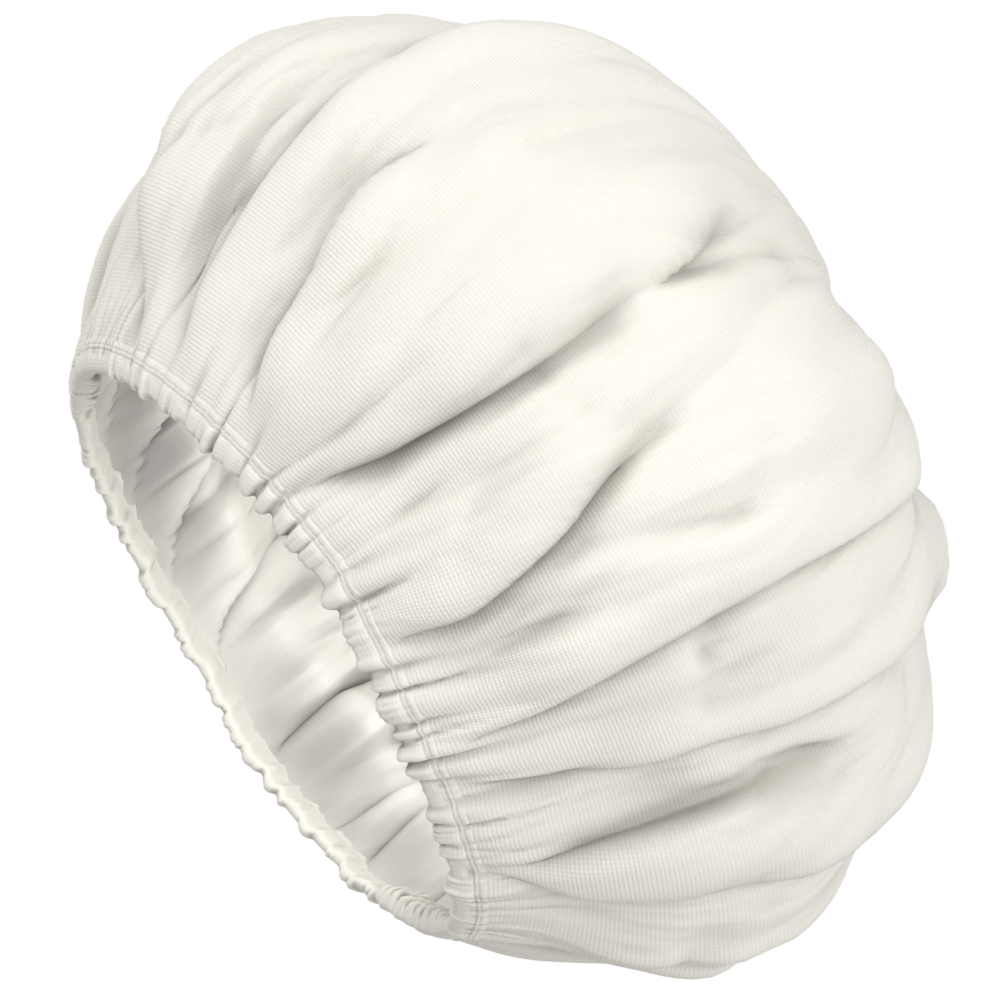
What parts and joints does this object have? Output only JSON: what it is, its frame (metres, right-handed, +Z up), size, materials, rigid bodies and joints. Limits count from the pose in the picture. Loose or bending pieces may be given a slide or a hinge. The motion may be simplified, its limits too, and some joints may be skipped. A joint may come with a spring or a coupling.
{
  "type": "shampoo cap",
  "caption": "Gathered fabric cap for washing or treating hair, with a puffed ribbed crown, a soft lining and an elastic hem that grips the head.",
  "frame": {"origin": "middle of the oval head opening, about level with the hem's edge, which bends up and down", "axes": "+Z up to the crown as worn, X along the opening's long axis with the crown leaning to +X, Y across"},
  "size_m": [0.3225, 0.2637, 0.2228],
  "materials": {
    "shell_cloth": "matt, fine ribbed weave",
    "lining_cloth": "matt, soft and smooth",
    "casing_cloth": "matt, gathered tape",
    "elastic": "matt, covered elastic",
    "thread": "matt, spun thread"
  },
  "bodies": {
    "root": {"outer_shell": "shell_cloth", "lining": "lining_cloth", "hem_casing": "casing_cloth", "elastic_band": "elastic", "stitch_row_lower": "thread", "stitch_row_upper": "thread"}
  },
  "joints": []
}
